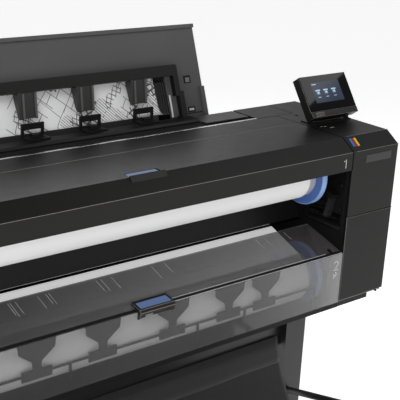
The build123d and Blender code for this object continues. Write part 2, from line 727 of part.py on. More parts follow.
def bin_frame():
    """Tube frame of the print bin: front bar and two arms from the legs."""
    frame = rod(-508, 508, *BIN_ROD, 8)
    reach = LEG_D[0] - BIN_ROD[0]
    drop = 110.0
    length = math.hypot(reach, drop)
    tilt = math.degrees(math.atan2(reach, drop))
    for side in (-1, 1):
        x = side * 500
        arm = Pos(x, FRONT_Y + BIN_ROD[0] + reach / 2, BIN_ROD[1] - drop / 2) * (
            Rotation(tilt - 180, 0, 0) * Cylinder(8, length))
        frame += arm
    return frame - block(-600, 600, LEG_D[0], LEG_D[0] + 40, 280, 360)


def bin_cloth():
    """Cloth sling of the bin, from the front bar to the cross beam."""
    steps = 14
    d0, z0 = BIN_ROD[0] + 13, BIN_ROD[1] + 6
    d1, z1 = 118.0, 470.0
    path = []
    for k in range(steps + 1):
        t = k / steps
        sag = 4 * t * (1 - t)
        path.append((d0 + (d1 - d0) * t, z0 + (z1 - z0) * t - 235 * sag ** 0.75))
    return wall(path, 3, -468, 468)


# ---- build --------------------------------------------------------------------------------
save(base_pan(), "base_pan")
save(both(side_frame()), "side_frames")
right_cover = end_cover()
save(right_cover, "right_end_cover")
save(flip(right_cover), "left_end_cover")
right_door = ink_door()
save(right_door, "right_ink_door")
save(flip(right_door), "left_ink_door")
save(ink_cartridges(), "ink_cartridges")
save(cartridge_bays(), "cartridge_bays")
save(rear_cover(), "rear_cover")
save(electronics_box(), "electronics_box")
save(power_inlet(), "power_inlet")
save(bay_panel(), "bay_panel")
save(rear_top_cover(), "rear_top_cover")
save(rear_deck(), "rear_deck")
save(slot_edge_strip(), "slot_edge_strip")
save(stacker_rail(), "stacker_rail")
save(stacker_ramps(), "stacker_ramps")
save(paper_guides(), "paper_guides")
save(stacker_panel(), "stacker_panel")
save(printed_sheet(), "printed_sheet")
save(gate_frame(), "gate_frame")
save(gate_fins(), "gate_fins")
save(lid(), "lid")
for number, axis, radius in ((1, ROLL1, PAPER1_R), (2, ROLL2, PAPER2_R)):
    save(spindle(axis), f"roll{number}_spindle")
    save(flanges(axis), f"roll{number}_flanges")
    save(paper(axis, radius), f"roll{number}_paper")
save(paper_lead(), "paper_lead")
save(drawer_tray(), "drawer_tray")
save(drawer_window(), "drawer_window")
save(drawer_handle(), "drawer_handle")
save(guide_arms(), "guide_arms")
save(carriage_rails(), "carriage_rails")
save(carriage(), "carriage")
save(platen(), "platen")
save(feed_roller(), "feed_roller")
save(pinch_rollers(), "pinch_rollers")
save(carriage_belt(), "carriage_belt")
save(carriage_motor(), "carriage_motor")
save(drive_pulley(), "drive_pulley")
save(service_station(), "service_station")
save(panel_base(), "panel_base")
save(panel_housing(), "panel_housing")
save(panel_glass(), "panel_glass")
save(power_button(), "power_button")
leg = right_leg()
save(leg, "right_leg")
save(flip(leg), "left_leg")
save(cross_beam(), "cross_beam")
save(bin_frame(), "bin_frame")
save(bin_cloth(), "bin_cloth")
leg_mid = (LEG_X[0] + LEG_X[1]) / 2
for x, side_name in ((-leg_mid, "left"), (leg_mid, "right")):
    for d, end_name in zip(CASTER_D, ("front", "rear")):
        save(caster_fork(x, d), f"caster_fork_{end_name}_{side_name}")
        save(caster_wheel(x, d), f"caster_wheel_{end_name}_{side_name}")
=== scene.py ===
"""Looks of the large format plotter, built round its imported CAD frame."""
import math

import bmesh
import bpy
from mathutils import Matrix, Vector


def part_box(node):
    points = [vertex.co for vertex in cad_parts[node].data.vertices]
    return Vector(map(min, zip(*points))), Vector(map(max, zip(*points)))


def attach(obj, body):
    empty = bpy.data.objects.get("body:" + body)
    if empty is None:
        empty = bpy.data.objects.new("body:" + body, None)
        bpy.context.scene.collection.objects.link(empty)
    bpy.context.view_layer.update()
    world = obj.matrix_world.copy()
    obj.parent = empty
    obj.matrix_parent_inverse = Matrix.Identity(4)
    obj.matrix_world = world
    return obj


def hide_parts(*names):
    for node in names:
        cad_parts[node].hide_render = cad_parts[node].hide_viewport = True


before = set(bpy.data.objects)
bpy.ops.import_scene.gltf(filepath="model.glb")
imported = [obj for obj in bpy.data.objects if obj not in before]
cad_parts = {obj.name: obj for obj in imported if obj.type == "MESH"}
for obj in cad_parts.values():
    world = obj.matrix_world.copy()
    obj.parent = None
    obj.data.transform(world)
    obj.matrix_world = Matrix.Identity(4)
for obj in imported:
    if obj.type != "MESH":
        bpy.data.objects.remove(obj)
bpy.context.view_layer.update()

MM = 0.001
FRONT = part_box("right_ink_door")[0][1]      # plane of the front covers
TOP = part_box("rear_top_cover")[1][2]        # flat top of the machine
CREASE_Z = 955.0                            # lower crease of the covers' slanted band
BAND_D = 37.5                               # depth of the band's upper crease
BAND_SLOPE = math.atan2(TOP / MM - CREASE_Z, BAND_D)
GLASS_TILT = math.radians(34.7)             # control panel's lean from plumb
WINDOW_Z = 712.5                            # front edge of the drawer window's top
FIN_PITCH = 143.3                           # spacing of the gate's fins


def at(x, d, z):
    """Point from millimetres: x, depth behind the front covers, height."""
    return Vector((x * MM, FRONT + d * MM, z * MM))


# ---- camera, light, floor ----------------------------------------------------------------
def set_camera():
    """Camera solved from the photograph's vanishing points."""
    yaw, pitch, roll = (math.radians(a) for a in (39.27, 19.15, -2.84))
    forward = Vector((math.sin(yaw) * math.cos(pitch), math.cos(yaw) * math.cos(pitch), -math.sin(pitch)))
    level = Vector((math.cos(yaw), -math.sin(yaw), 0))
    down = forward.cross(level)
    right = math.cos(roll) * level + math.sin(roll) * down
    up = -(-math.sin(roll) * level + math.cos(roll) * down)
    cam = bpy.data.cameras.new("camera")
    cam.lens = 88.0
    cam.sensor_width = 36.0
    cam.clip_end = 60
    obj = bpy.data.objects.new("camera", cam)
    turn = Matrix((right, up, -forward)).transposed().to_4x4()
    obj.matrix_world = Matrix.Translation(at(-1048.4, -1415.9, 1555.9)) @ turn
    bpy.context.collection.objects.link(obj)
    bpy.context.scene.camera = obj


def area_light(name, place, target, size, power, tint=(1, 1, 1)):
    data = bpy.data.lights.new(name, "AREA")
    data.shape = "RECTANGLE"
    data.size, data.size_y = size
    data.energy = power
    data.color = tint
    obj = bpy.data.objects.new(name, data)
    obj.location = place
    aim = Vector(target) - Vector(place)
    obj.rotation_euler = aim.to_track_quat("-Z", "Y").to_euler()
    bpy.context.collection.objects.link(obj)


def set_light():
    """Pale studio: bright horizon, three soft boxes and the gloss card."""
    bpy.context.scene.view_settings.view_transform = "Standard"
    world = bpy.data.worlds.new("studio")
    bpy.context.scene.world = world
    world.use_nodes = True
    tree = world.node_tree
    back = tree.nodes["Background"]
    coord = tree.nodes.new("ShaderNodeTexCoord")
    split = tree.nodes.new("ShaderNodeSeparateXYZ")
    ramp = tree.nodes.new("ShaderNodeValToRGB")
    ramp.color_ramp.elements[0].position = 0.0
    ramp.color_ramp.elements[0].color = (0.95, 0.95, 0.96, 1)
    ramp.color_ramp.elements[1].position = 0.85
    ramp.color_ramp.elements[1].color = (0.10, 0.10, 0.105, 1)
    mid = ramp.color_ramp.elements.new(0.3)
    mid.color = (0.62, 0.62, 0.63, 1)
    tree.links.new(coord.outputs["Generated"], split.inputs[0])
    tree.links.new(split.outputs["Z"], ramp.inputs[0])
    tree.links.new(ramp.outputs[0], back.inputs["Color"])
    back.inputs["Strength"].default_value = 0.75
    area_light("key", (-2.2, -1.6, 3.4), (0, 0, 0.8), (2.4, 1.8), 50)
    area_light("front", (-1.9, -3.1, 1.35), (0.1, 0, 0.75), (2.6, 1.5), 32)
    area_light("back", (0.9, 2.9, 2.7), (0.1, 0.1, 0.9), (2.8, 1.2), 34)
    gloss_light((0.62, 0.03, 1.05), 3.0, 1.5, 24)


def gloss_light(target, reach, size, power):
    """Soft card whose edge runs diagonally across the control panel's glass."""
    mirror_way = Vector((0.6, -0.566, 0.567)).normalized()
    slide = Vector((-0.55, 0.505, 0.667))
    centre = Vector(target) + mirror_way * reach + slide * size / 2
    z = (centre - Vector(target)).normalized()
    x = (slide - slide.dot(z) * z).normalized()
    y = z.cross(x)
    data = bpy.data.lights.new("card", "AREA")
    data.size = size
    data.energy = power
    obj = bpy.data.objects.new("card", data)
    obj.visible_diffuse = False
    obj.visible_transmission = False
    obj.matrix_world = Matrix.Translation(centre) @ Matrix((x, y, z)).transposed().to_4x4()
    bpy.context.collection.objects.link(obj)


def make_floor():
    bpy.ops.mesh.primitive_grid_add(x_subdivisions=2, y_subdivisions=2, size=30, location=(0, 4, -0.0005))
    floor = bpy.context.object
    floor.name = "floor"
    mat = bpy.data.materials.new("floor")
    mat.use_nodes = True
    shader = mat.node_tree.nodes["Principled BSDF"]
    shader.inputs["Base Color"].default_value = (0.9, 0.9, 0.9, 1)
    shader.inputs["Roughness"].default_value = 0.8
    shader.inputs["Emission Color"].default_value = (1, 1, 1, 1)
    shader.inputs["Emission Strength"].default_value = 0.72
    floor.data.materials.append(mat)


# ---- materials ---------------------------------------------------------------------------
class Look:
    """Small builder for node materials; coordinates are the piece's own, in metres."""

    def __init__(self, name):
        self.mat = bpy.data.materials.new(name)
        self.mat.use_nodes = True
        self.tree = self.mat.node_tree
        self.shader = self.tree.nodes["Principled BSDF"]
        self.coord = self.tree.nodes.new("ShaderNodeTexCoord").outputs["Object"]

    def node(self, kind, **values):
        made = self.tree.nodes.new(kind)
        for key, value in values.items():
            if hasattr(made, key):
                setattr(made, key, value)
            else:
                made.inputs[key.replace("_", " ")].default_value = value
        return made

    def link(self, a, b):
        self.tree.links.new(a, b)

    def noise(self, scale, detail=3.0, rough=0.5, stretch=None):
        tex = self.node("ShaderNodeTexNoise", Scale=scale, Detail=detail, Roughness=rough)
        source = self.coord
        if stretch:
            mapping = self.node("ShaderNodeMapping")
            mapping.inputs["Scale"].default_value = stretch
            self.link(source, mapping.inputs[0])
            source = mapping.outputs[0]
        self.link(source, tex.inputs["Vector"])
        return tex.outputs["Fac"]

    def ramp(self, source, stops):
        made = self.node("ShaderNodeValToRGB")
        ramp = made.color_ramp
        while len(ramp.elements) < len(stops):
            ramp.elements.new(0.5)
        for element, (place, colour) in zip(ramp.elements, stops):
            element.position = place
            element.color = (*colour, 1)
        self.link(source, made.inputs[0])
        return made.outputs[0]

    def mix(self, factor, a, b, mode="MIX"):
        made = self.node("ShaderNodeMix", data_type="RGBA", blend_type=mode)
        for socket, value in ((made.inputs[0], factor), (made.inputs[6], a), (made.inputs[7], b)):
            if hasattr(value, "is_linked"):
                self.link(value, socket)
            elif isinstance(value, (int, float)):
                socket.default_value = value
            else:
                socket.default_value = (*value, 1)
        return made.outputs[2]

    def span(self, source, low, high):
        made = self.node("ShaderNodeMapRange")
        made.inputs["To Min"].default_value = low
        made.inputs["To Max"].default_value = high
        self.link(source, made.inputs["Value"])
        return made.outputs[0]

    def math(self, kind, a, b=None, c=None):
        made = self.node("ShaderNodeMath", operation=kind)
        for socket, value in zip(made.inputs, (a, b, c)):
            if value is None:
                continue
            if hasattr(value, "is_linked"):
                self.link(value, socket)
            else:
                socket.default_value = value
        return made.outputs[0]

    def axis(self, letter):
        split = self.node("ShaderNodeSeparateXYZ")
        self.link(self.coord, split.inputs[0])
        return split.outputs[letter]

    def colour(self, value):
        self.link(value, self.shader.inputs["Base Color"])

    def rough(self, value):
        if hasattr(value, "is_linked"):
            self.link(value, self.shader.inputs["Roughness"])
        else:
            self.shader.inputs["Roughness"].default_value = value

    def bump(self, source, strength, distance, after=None):
        made = self.node("ShaderNodeBump", Strength=strength, Distance=distance)
        self.link(source, made.inputs["Height"])
        if after is not None:
            self.link(after, made.inputs["Normal"])
        self.link(made.outputs[0], self.shader.inputs["Normal"])
        return made.outputs[0]

    def set(self, **values):
        for key, value in values.items():
            self.shader.inputs[key.replace("_", " ")].default_value = value
        return self


def shade(rgb, k):
    return tuple(c * k for c in rgb)


def moulded(name, rgb, rough=0.42, grain=1.0, sheen=0.20):
    """Injection-moulded plastic: fine spark-eroded grain, faint handling marks, slight tone drift."""
    look = Look(name)
    drift = look.ramp(look.noise(5, 2), ((0.3, shade(rgb, 0.93)), (0.7, shade(rgb, 1.07))))
    fine = look.noise(1500, 2, 0.6)
    look.colour(look.mix(look.span(fine, 0.0, 0.5), drift, shade(rgb, 1.28)))
    smear = look.noise(26, 4, 0.6, (1, 1, 3))
    look.rough(look.span(smear, rough - 0.06, rough + 0.07))
    look.bump(fine, 0.12 * grain, 0.0001)
    look.set(Specular_IOR_Level=sheen)
    return look.mat


def painted(name, rgb, rough=0.38):
    """Powder coat: soft orange peel."""
    look = Look(name)
    look.colour(look.ramp(look.noise(9, 3), ((0.3, shade(rgb, 0.9)), (0.7, shade(rgb, 1.1)))))
    look.rough(look.span(look.noise(60, 3), rough - 0.05, rough + 0.08))
    look.bump(look.noise(420, 2), 0.2, 0.0002)
    return look.mat


def metal(name, rgb, rough=0.3, stretch=(0.02, 1, 1)):
    """Drawn or plated metal with fine lines along the piece."""
    look = Look(name)
    lines = look.noise(900, 3, 0.6, stretch)
    look.colour(look.ramp(lines, ((0.25, shade(rgb, 0.82)), (0.75, shade(rgb, 1.1)))))
    look.rough(look.span(lines, rough - 0.08, rough + 0.12))
    look.bump(lines, 0.06, 0.0001)
    look.set(Metallic=1.0)
    return look.mat


def rubber(name, rgb=(0.022, 0.022, 0.023)):
    look = Look(name)
    look.colour(look.ramp(look.noise(40, 4), ((0.3, shade(rgb, 0.85)), (0.7, shade(rgb, 1.4)))))
    look.rough(look.span(look.noise(200, 2), 0.62, 0.78))
    look.bump(look.noise(700, 2), 0.25, 0.0002)
    return look.mat


def paper(name, rgb=(0.83, 0.83, 0.825), streaks=(0.02, 1, 1), lift=0.0):
    """Matte uncoated paper with fibre tooth and faint winding streaks; lift sets a white self-glow, painted
    light.
    """
    look = Look(name)
    fibre = look.noise(700, 4, 0.7)
    streak = look.noise(60, 2, 0.5, streaks)
    tone = look.ramp(streak, ((0.3, shade(rgb, 0.985)), (0.7, rgb)))
    look.colour(look.mix(look.span(fibre, 0, 0.10), tone, shade(rgb, 0.9)))
    look.rough(look.span(fibre, 0.62, 0.75))
    look.bump(fibre, 0.06, 0.0001)
    # Emission set by lift: painted light.
    look.set(Specular_IOR_Level=0.3, Emission_Color=(1, 1, 1, 1), Emission_Strength=lift)
    return look.mat


def roll_paper(name, node):
    """Wound paper: plain outside, fine rings on the two ends."""
    low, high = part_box(node)
    mid_y, mid_z = (low[1] + high[1]) / 2, (low[2] + high[2]) / 2
    half = high[0]
    look = Look(name)
    x, y, z = look.axis("X"), look.axis("Y"), look.axis("Z")
    dy = look.math("SUBTRACT", y, mid_y)
    dz = look.math("SUBTRACT", z, mid_z)
    reach = look.math("SQRT", look.math("ADD", look.math("MULTIPLY", dy, dy), look.math("MULTIPLY", dz, dz)))
    rings = look.math("SINE", look.math("MULTIPLY", reach, 5200))
    at_end = look.math("GREATER_THAN", look.math("ABSOLUTE", x), half - 0.0004)
    dark = look.math("MULTIPLY", at_end, look.span(rings, 0.0, 0.35))
    fibre = look.noise(600, 4, 0.7)
    streak = look.noise(45, 2, 0.5, (0.03, 1, 1))
    base = look.ramp(streak, ((0.3, (0.80, 0.80, 0.795)), (0.7, (0.845, 0.845, 0.84))))
    look.colour(look.mix(dark, base, (0.52, 0.51, 0.49)))
    look.rough(look.span(fibre, 0.6, 0.74))
    look.bump(fibre, 0.05, 0.0001)
    look.set(Specular_IOR_Level=0.3)
    return look.mat


def flange_plastic(name, node):
    """Blue flange with a grey collar next to the paper, and a lighter blue outer rim that is a painted
    highlight.
    """
    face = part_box(node)[1][0] - 0.015
    blue = (0.085, 0.165, 0.44)
    look = Look(name)
    side = look.math("ABSOLUTE", look.axis("X"))
    is_blue = look.math("GREATER_THAN", side, face - 0.0002)
    low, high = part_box(node)
    dy = look.math("SUBTRACT", look.axis("Y"), (low[1] + high[1]) / 2)
    dz = look.math("SUBTRACT", look.axis("Z"), (low[2] + high[2]) / 2)
    reach = look.math("SQRT", look.math("ADD", look.math("MULTIPLY", dy, dy), look.math("MULTIPLY", dz, dz)))
    # Lighter blue band round the outer rim: painted highlight.
    rim_highlight = look.math("GREATER_THAN", reach, (high[2] - low[2]) / 2 - 0.0022)
    tone = look.ramp(look.noise(14, 3), ((0.3, shade(blue, 0.92)), (0.7, shade(blue, 1.12))))
    tone = look.mix(rim_highlight, tone, (0.22, 0.38, 0.68))
    look.colour(look.mix(is_blue, (0.42, 0.43, 0.45), tone))
    look.rough(look.span(look.noise(80, 3), 0.3, 0.42))
    look.bump(look.noise(1200, 2), 0.08, 0.0001)
    return look.mat


def smoke_window(name):
    """Clear smoke-grey sheet, dark and see-through on top, pale and milky on the front face; both faces grow
    lighter towards +x, a painted reflection, and the front turns more opaque near that end.
    """
    look = Look(name)
    normal = look.node("ShaderNodeNewGeometry").outputs["Normal"]
    split = look.node("ShaderNodeSeparateXYZ")
    look.link(normal, split.inputs[0])
    front = look.math("GREATER_THAN", look.math("ABSOLUTE", split.outputs["Y"]), 0.8)
    along = look.node("ShaderNodeMapRange")
    along.inputs["From Min"].default_value = -0.3
    along.inputs["From Max"].default_value = 0.544
    look.link(look.axis("X"), along.inputs["Value"])
    # Front colour lighter towards +x: partly milky plastic, partly painted reflection.
    haze_and_reflection = look.ramp(along.outputs[0], ((0.0, (0.10, 0.10, 0.10)), (0.62, (0.17, 0.17, 0.17)),
                                        (0.9, (0.27, 0.27, 0.27)), (1.0, (0.40, 0.40, 0.40))))
    front_cloud_and_reflection = look.mix(look.span(look.noise(5, 3), 0.0, 0.25), haze_and_reflection, (0.05, 0.05, 0.052))
    # Top colour lighter towards +x: painted reflection.
    top_reflection_tone = look.mix(along.outputs[0], (0.046, 0.043, 0.045), (0.105, 0.098, 0.101))
    look.colour(look.mix(front, top_reflection_tone, front_cloud_and_reflection))
    # Front more opaque near the +x end, so more of the painted reflection shows.
    edge = look.math("POWER", along.outputs[0], 6.0)
    pane = look.math("MULTIPLY_ADD", edge, 0.34, 0.30)
    over = look.math("MULTIPLY_ADD", along.outputs[0], -0.26, 0.76)
    veil = look.math("MULTIPLY_ADD", look.math("SUBTRACT", pane, over), front, over)
    look.link(veil, look.shader.inputs["Alpha"])
    look.rough(look.span(look.noise(30, 3), 0.05, 0.10))
    return look.mat


def gloss(name, rgb, rough=0.08, sheen=0.5):
    look = Look(name)
    look.colour(look.ramp(look.noise(12, 3), ((0.3, shade(rgb, 0.9)), (0.7, shade(rgb, 1.15)))))
    look.rough(look.span(look.noise(50, 4), rough * 0.7, rough * 1.5))
    look.bump(look.noise(8, 2), 0.02, 0.0005)
    look.set(Specular_IOR_Level=sheen)
    return look.mat


def woven(name, rgb):
    """Plain-weave cloth: crossing threads about 0.8 mm apart."""
    look = Look(name)
    x, y, z = look.axis("X"), look.axis("Y"), look.axis("Z")
    warp = look.math("SINE", look.math("MULTIPLY", x, 4200))
    run = look.math("ADD", y, z)
    weft = look.math("SINE", look.math("MULTIPLY", run, 4200))
    weave = look.math("MULTIPLY", warp, weft)
    fuzz = look.noise(260, 5, 0.7)
    tone = look.mix(look.span(weave, 0.0, 0.6), shade(rgb, 0.75), shade(rgb, 1.5))
    look.colour(look.mix(look.span(fuzz, 0.0, 0.35), tone, shade(rgb, 1.9)))
    look.rough(look.span(fuzz, 0.75, 0.92))
    first = look.bump(weave, 0.35, 0.0004)
    look.bump(fuzz, 0.2, 0.0006, first)
    look.set(Sheen_Weight=0.25)
    return look.mat


def glow(name, rgb, strength):
    """Lit screen area with a slow tone drift."""
    look = Look(name)
    tone = look.ramp(look.noise(18, 2), ((0.3, shade(rgb, 0.85)), (0.7, shade(rgb, 1.15))))
    look.colour(tone)
    look.link(tone, look.shader.inputs["Emission Color"])
    look.set(Emission_Strength=strength, Specular_IOR_Level=0.16)
    look.rough(0.12)
    return look.mat


def drawing_paper(name, rgb=(0.84, 0.84, 0.84)):
    """Printed plan: walls, rooms, grids and hatching in thin grey lines on white paper."""
    look = Look(name)
    flat = look.node("ShaderNodeCombineXYZ")
    look.link(look.axis("X"), flat.inputs[0])
    look.link(look.axis("Z"), flat.inputs[1])

    def turned(angle):
        mapping = look.node("ShaderNodeMapping")
        mapping.inputs["Rotation"].default_value = (0, 0, math.radians(angle))
        look.link(flat.outputs[0], mapping.inputs[0])
        return mapping.outputs[0]

    def bricks(place, width, height, line, offset=0.0):
        tex = look.node("ShaderNodeTexBrick", offset=offset, squash=1.0)
        tex.inputs["Color1"].default_value = (1, 1, 1, 1)
        tex.inputs["Color2"].default_value = (1, 1, 1, 1)
        tex.inputs["Mortar"].default_value = (0.10, 0.10, 0.11, 1)
        tex.inputs["Scale"].default_value = 1.0
        tex.inputs["Mortar Size"].default_value = line * MM
        tex.inputs["Mortar Smooth"].default_value = 0.0
        tex.inputs["Brick Width"].default_value = width * MM
        tex.inputs["Row Height"].default_value = height * MM
        look.link(place, tex.inputs["Vector"])
        return tex.outputs["Color"]

    def patch(scale, level, seed):
        tex = look.node("ShaderNodeTexNoise", noise_dimensions="2D", Scale=scale, Detail=0.0)
        mapping = look.node("ShaderNodeMapping")
        mapping.inputs["Location"].default_value = (seed, seed * 0.7, 0)
        look.link(flat.outputs[0], mapping.inputs[0])
        look.link(mapping.outputs[0], tex.inputs["Vector"])
        return look.ramp(tex.outputs["Fac"], ((level, (0, 0, 0)), (level + 0.01, (1, 1, 1))))

    rooms = look.mix(patch(11, 0.50, 3.1), (1, 1, 1), bricks(turned(38), 42, 24, 0.7, 0.35))
    grid = look.mix(patch(15, 0.63, 7.7), (1, 1, 1), bricks(turned(24), 11, 10, 0.9))
    stair = look.mix(patch(14, 0.66, 1.9), (1, 1, 1), bricks(turned(46), 90, 5.5, 0.7, 0.5))
    axes = look.mix(patch(5, 0.52, 5.3), (1, 1, 1), bricks(turned(-48), 170, 55, 0.6, 0.5))
    dashes = look.mix(patch(16, 0.68, 9.2), (1, 1, 1), bricks(turned(-22), 15, 12, 1.8, 0.5))
    ink = look.mix(1.0, rooms, grid, "MULTIPLY")
    for layer in (stair, axes, dashes):
        ink = look.mix(1.0, ink, layer, "MULTIPLY")
    fibre = look.noise(700, 4, 0.7)
    look.colour(look.mix(1.0, ink, rgb, "MULTIPLY"))
    look.rough(look.span(fibre, 0.45, 0.58))
    look.bump(fibre, 0.05, 0.0001)
    return look.mat


def build_materials():
    dark = (0.0100, 0.0095, 0.0089)
    return {
        "housing": moulded("housing", dark, 0.40),
        "frame": moulded("frame_black", (0.0060, 0.0060, 0.0062), 0.5, 1.0, 0.18),
        "bay": moulded("bay_black", (0.0075, 0.0075, 0.0078), 0.34, 0.5, 0.22),
        "steel": metal("plated_steel", (0.52, 0.53, 0.54), 0.35),
        "strip": metal("bright_strip", (0.80, 0.80, 0.81), 0.22),
        "stacker": moulded("stacker_grey", (0.088, 0.088, 0.089), 0.42),
        "fin": moulded("fin_grey", (0.022, 0.0215, 0.021), 0.36, 1.0, 0.4),
        "ramp": moulded("ramp_grey", (0.055, 0.054, 0.052), 0.42),
        "gloss": gloss("gloss_black", (0.006, 0.006, 0.0065), 0.07),
        "glass": gloss("panel_glass", (0.0022, 0.0023, 0.0026), 0.03, 0.16),
        "window": smoke_window("smoke_window"),
        "arm": moulded("guide_grey", (0.009, 0.009, 0.009), 0.5),
        "paper": paper("paper"),
        # Paper lead with a white self-glow: painted light that brightens the strip where the lid shades it.
        "lead": paper("lead_paper_glow", lift=0.30),
        "roll1": roll_paper("roll1_paper", "roll1_paper"),
        "roll2": roll_paper("roll2_paper", "roll2_paper"),
        "flange1": flange_plastic("flange1", "roll1_flanges"),
        "flange2": flange_plastic("flange2", "roll2_flanges"),
        "drawing": drawing_paper("printed_plan"),
        "cloth": woven("bin_cloth", (0.018, 0.018, 0.019)),
        "hem": woven("bin_hem", (0.030, 0.030, 0.031)),
        "coat": painted("stand_coat", (0.016, 0.0155, 0.015)),
        "rubber": rubber("rubber"),
        "wheel": moulded("wheel_grey", (0.05, 0.05, 0.052), 0.45),
        "cartridge": moulded("cartridge_grey", (0.12, 0.12, 0.125), 0.4),
        "blue": moulded("label_blue", (0.155, 0.235, 0.46), 0.35, 0.5),
        "mark": moulded("mark_grey", (0.55, 0.55, 0.54), 0.5, 0.3),
        "line": moulded("line_white", (0.62, 0.62, 0.61), 0.5, 0.3),
        "cyan": moulded("bar_blue", (0.02, 0.19, 0.52), 0.35, 0.3),
        "red": moulded("bar_red", (0.42, 0.01, 0.05), 0.35, 0.3),
        "yellow": moulded("bar_yellow", (0.82, 0.60, 0.01), 0.35, 0.3),
        "badge": moulded("badge_plate", (0.024, 0.0235, 0.023), 0.3, 0.5, 0.4),
        "screen": glow("screen_field", (0.020, 0.028, 0.045), 0.7),
        "icon": glow("screen_icon", (0.10, 0.20, 0.33), 0.9),
        "icon_light": glow("screen_light", (0.36, 0.42, 0.48), 0.7),
        # Lighter, glossier edge look: a painted highlight along bevelled edges and on the bay frame's top
        # bar.
        "edge": moulded("edge_painted_highlight", (0.150, 0.142, 0.130), 0.26, 0.4, 0.5),
        "rib": moulded("rib_grey", (0.085, 0.082, 0.078), 0.35, 0.6, 0.4),
        "latch": moulded("latch_grey", (0.16, 0.16, 0.158), 0.4, 0.8, 0.4),
        "key": moulded("key_grey", (0.06, 0.06, 0.062), 0.35),
        "socket": moulded("socket_black", (0.012, 0.012, 0.012), 0.5),
        # Pale crease look: painted highlight.
        "crease": moulded("crease_painted_highlight", (0.200, 0.190, 0.172), 0.30, 0.4, 0.4),
        # Near-black, almost matte look: painted shade in gaps and shut lines.
        "gap_shade": moulded("gap_shade_black", (0.0010, 0.0010, 0.0010), 0.7, 0.5, 0.04),
    }


NODE_LOOKS = {
    "base_pan": "steel", "side_frames": "frame", "right_end_cover": "housing", "left_end_cover": "housing",
    "right_ink_door": "housing", "left_ink_door": "housing", "ink_cartridges": "cartridge",
    "cartridge_bays": "frame", "rear_cover": "housing", "electronics_box": "steel", "power_inlet": "socket",
    "bay_panel": "bay", "rear_top_cover": "housing", "rear_deck": "housing", "slot_edge_strip": "strip",
    "stacker_rail": "frame", "stacker_ramps": "ramp", "paper_guides": "frame", "stacker_panel": "stacker",
    "printed_sheet": "drawing", "gate_frame": "housing", "gate_fins": "fin", "lid": "housing",
    "roll1_spindle": "frame", "roll1_flanges": "flange1", "roll1_paper": "roll1",
    "roll2_spindle": "frame", "roll2_flanges": "flange2", "roll2_paper": "roll2",
    "paper_lead": "lead", "drawer_tray": "frame", "drawer_window": "window", "drawer_handle": "housing",
    "guide_arms": "arm", "carriage_rails": "steel", "carriage": "frame", "platen": "frame",
    "feed_roller": "rubber", "pinch_rollers": "rubber", "carriage_belt": "rubber",
    "carriage_motor": "steel", "drive_pulley": "strip", "service_station": "frame",
    "panel_base": "housing", "panel_housing": "housing", "panel_glass": "glass", "power_button": "key",
    "right_leg": "coat", "left_leg": "coat", "cross_beam": "coat", "bin_frame": "coat", "bin_cloth": "cloth",
}
BEVELLED = {
    "lid": 1.4, "right_end_cover": 1.2, "left_end_cover": 1.2, "right_ink_door": 0.8, "left_ink_door": 0.8,
    "rear_top_cover": 0.8, "rear_deck": 0.6, "rear_cover": 0.8, "gate_frame": 1.2, "gate_fins": 1.0,
    "panel_housing": 0.8, "stacker_ramps": 1.0, "stacker_rail": 1.0, "paper_guides": 0.5,
    "stacker_panel": 0.7, "drawer_handle": 0.8, "slot_edge_strip": 0.3, "panel_base": 0.5,
    "drawer_window": 0.5, "right_leg": 2.0, "left_leg": 2.0, "cross_beam": 1.2, "roll1_flanges": 0.8,
    "roll2_flanges": 0.8, "electronics_box": 0.6, "power_inlet": 0.5}
# Parts whose bevel faces take the lighter edge look, a painted highlight along their edges.
PAINTED_HIGHLIGHT_EDGES = ("lid", "right_end_cover", "left_end_cover", "right_ink_door", "left_ink_door", "gate_frame",
        "panel_housing", "rear_top_cover", "drawer_handle")


def dress_nodes(looks):
    """Material and rounded edges for every CAD node that stays visible; on the listed covers the bevel faces
    take the lighter edge look, a painted highlight.
    """
    for name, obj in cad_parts.items():
        key = NODE_LOOKS.get(name)
        if key is None:
            key = "wheel" if "wheel" in name else "coat"
        for place in obj.material_slots:
            place.material = looks[key]
        if name in BEVELLED:
            weld = obj.modifiers.new("weld", "WELD")
            weld.merge_threshold = 0.01 * MM
            edge = obj.modifiers.new("edges", "BEVEL")
            edge.width = BEVELLED[name] * MM
            edge.segments = 2
            edge.limit_method = "ANGLE"
            edge.angle_limit = math.radians(25)
            # Bevel faces get the lighter edge look: painted highlight.
            if name in PAINTED_HIGHLIGHT_EDGES:
                obj.data.materials.append(looks["edge"])
                edge.material = len(obj.data.materials) - 1
            level = obj.modifiers.new("normals", "WEIGHTED_NORMAL")
            level.keep_sharp = False
    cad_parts["drawer_window"].visible_shadow = False


# ---- mesh helpers ------------------------------------------------------------------------
def new_piece(name, mesh, look, body, smooth=False):
    obj = bpy.data.objects.new(name, mesh)
    bpy.context.collection.objects.link(obj)
    mesh.materials.append(look)
    if smooth:
        for face in mesh.polygons:
            face.use_smooth = True
    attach(obj, body)
    return obj


def from_bmesh(name, bm, look, body, smooth=False):
    bmesh.ops.recalc_face_normals(bm, faces=bm.faces)
    mesh = bpy.data.meshes.new(name)
    bm.to_mesh(mesh)
    bm.free()
    return new_piece(name, mesh, look, body, smooth)


def add_slab(bm, corners, lift):
    """Thin slab: a polygon and its copy moved by lift."""
    low = [bm.verts.new(c) for c in corners]
    high = [bm.verts.new(Vector(c) + lift) for c in corners]
    bm.faces.new(low[::-1])
    bm.faces.new(high)
    count = len(corners)
    for i in range(count):
        j = (i + 1) % count
        bm.faces.new((low[i], low[j], high[j], high[i]))


def slab(name, corners, lift, look, body):
    bm = bmesh.new()
    add_slab(bm, corners, lift)
    return from_bmesh(name, bm, look, body)


